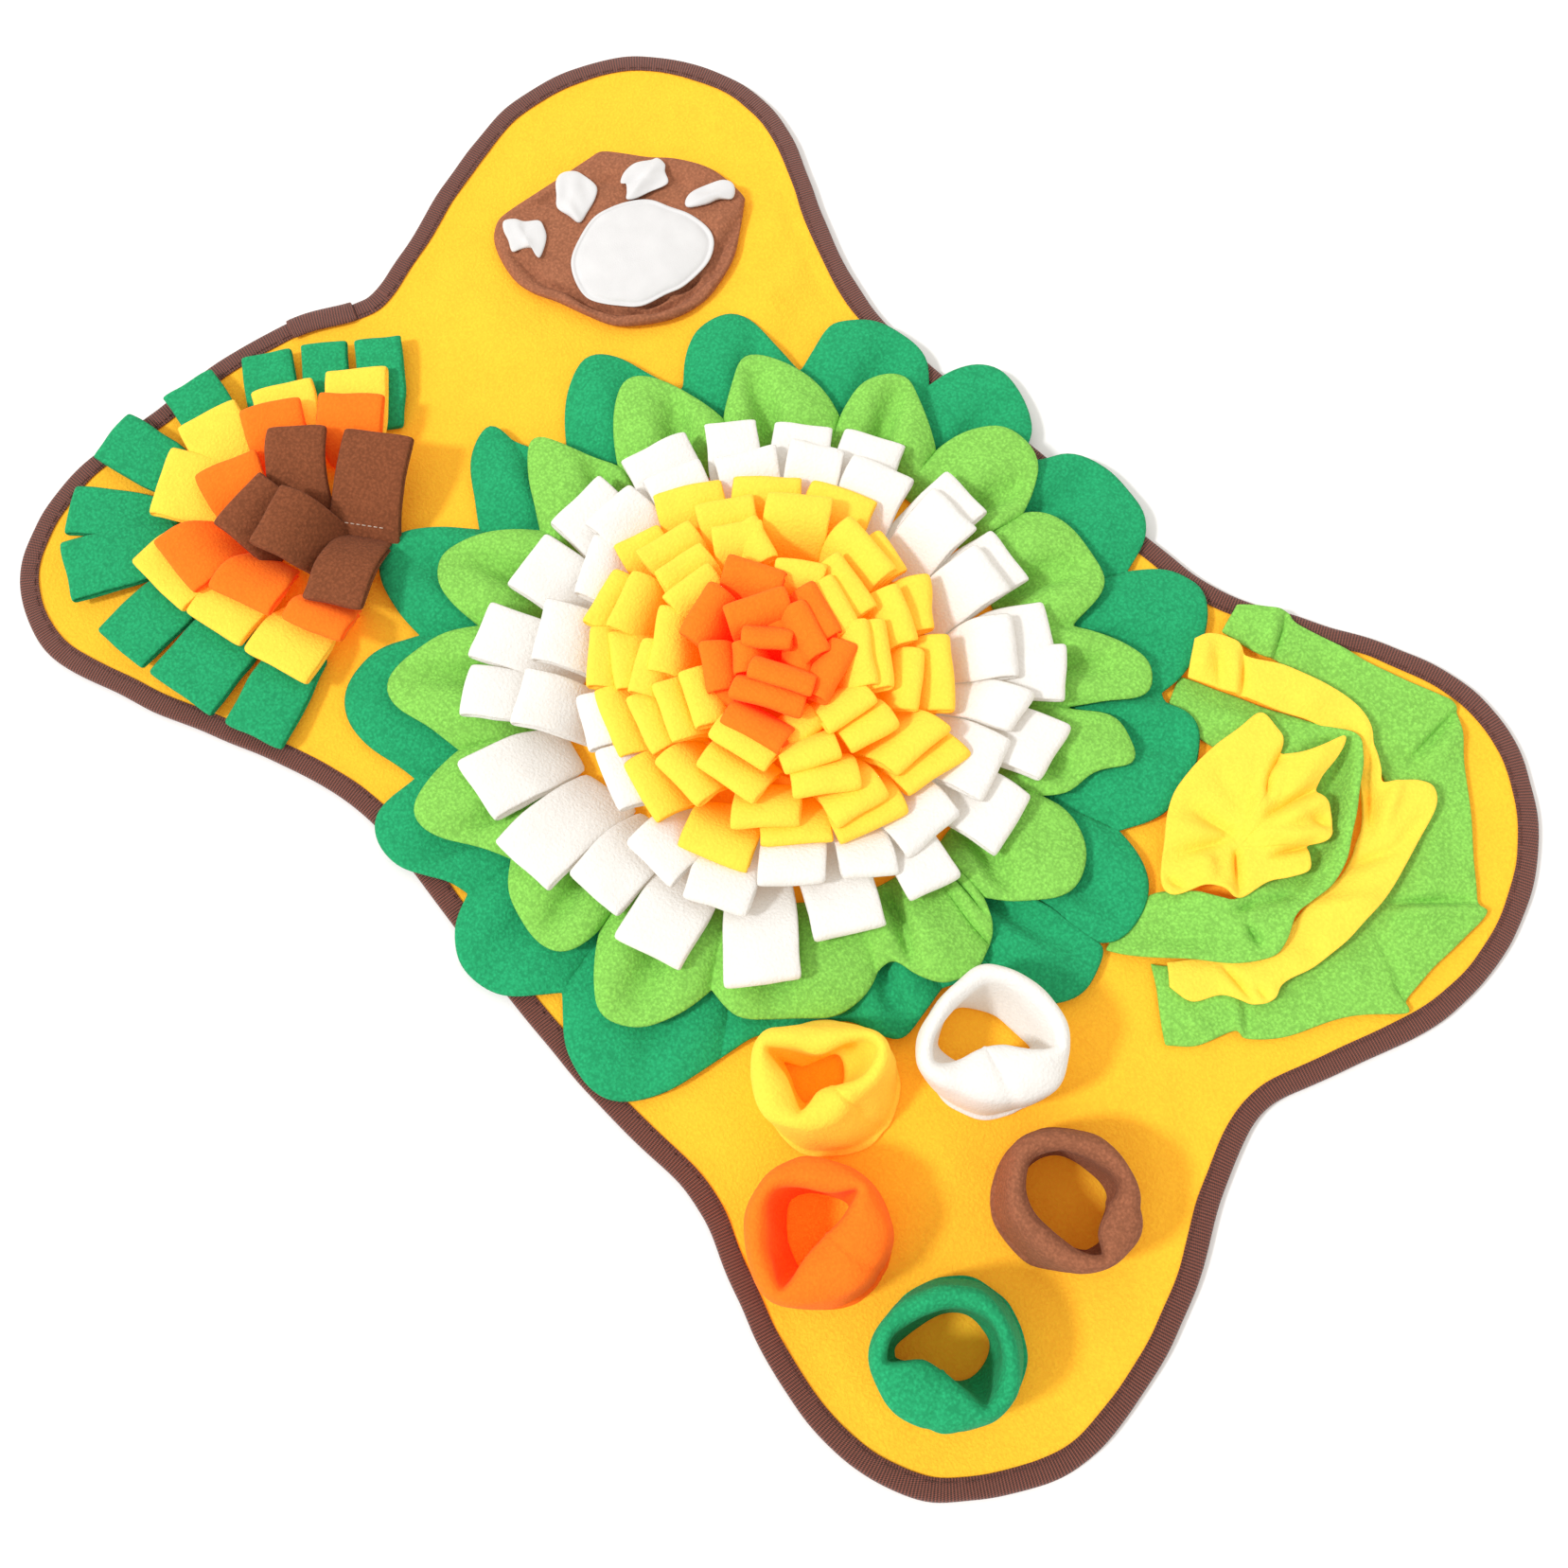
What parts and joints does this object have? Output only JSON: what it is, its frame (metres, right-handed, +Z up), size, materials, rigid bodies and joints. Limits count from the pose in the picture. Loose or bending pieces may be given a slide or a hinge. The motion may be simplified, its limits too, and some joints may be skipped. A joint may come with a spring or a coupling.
{
  "type": "snuffle mat",
  "caption": "Bone-shaped fleece foraging mat for a dog, with a bound edge, a ruffled flower, a fan of tabs, a pleated cabbage, a padded paw and soft treat cups.",
  "frame": {"origin": "centre of the mat's box on the floor it lies on", "axes": "+X along the mat's length toward the cabbage and cups, +Y across it toward the paw and cabbage, +Z up"},
  "size_m": [0.8312, 0.578, 0.0674],
  "materials": {
    "fleece_amber": "matt pebbled fleece",
    "webbing_brown": "ribbed woven tape",
    "fleece_dark_green": "matt pebbled fleece",
    "fleece_lime": "matt pebbled fleece",
    "fleece_white": "matt pebbled fleece",
    "fleece_yellow": "matt pebbled fleece",
    "fleece_orange": "matt pebbled fleece",
    "fleece_brown": "matt pebbled fleece"
  },
  "bodies": {
    "root": {"base_mat": "fleece_amber", "edge_binding": "webbing_brown", "petals_dark_green": "fleece_dark_green", "petals_lime": "fleece_lime", "loops_white_outer": "fleece_white", "loops_white_inner": "fleece_white", "loops_yellow_1": "fleece_yellow", "loops_yellow_2": "fleece_yellow", "loops_yellow_3": "fleece_yellow", "loops_yellow_4": "fleece_yellow", "loops_orange_1": "fleece_orange", "loops_orange_2": "fleece_orange", "loops_orange_3": "fleece_orange", "fan_green": "fleece_dark_green", "fan_yellow": "fleece_yellow", "fan_orange": "fleece_orange", "fan_brown_back": "fleece_brown", "fan_brown_front": "fleece_brown", "cabbage_lime_outer": "fleece_lime", "cabbage_yellow_band": "fleece_yellow", "cabbage_lime_inner": "fleece_lime", "cabbage_heart": "fleece_yellow", "paw_pouch": "fleece_brown", "paw_pad": "fleece_white", "paw_toe_1": "fleece_white", "paw_toe_2": "fleece_white", "paw_toe_3": "fleece_white", "paw_toe_4": "fleece_white", "cup_white": "fleece_white", "cup_yellow": "fleece_yellow", "cup_orange": "fleece_orange", "cup_brown": "fleece_brown", "cup_green": "fleece_dark_green"}
  },
  "joints": []
}
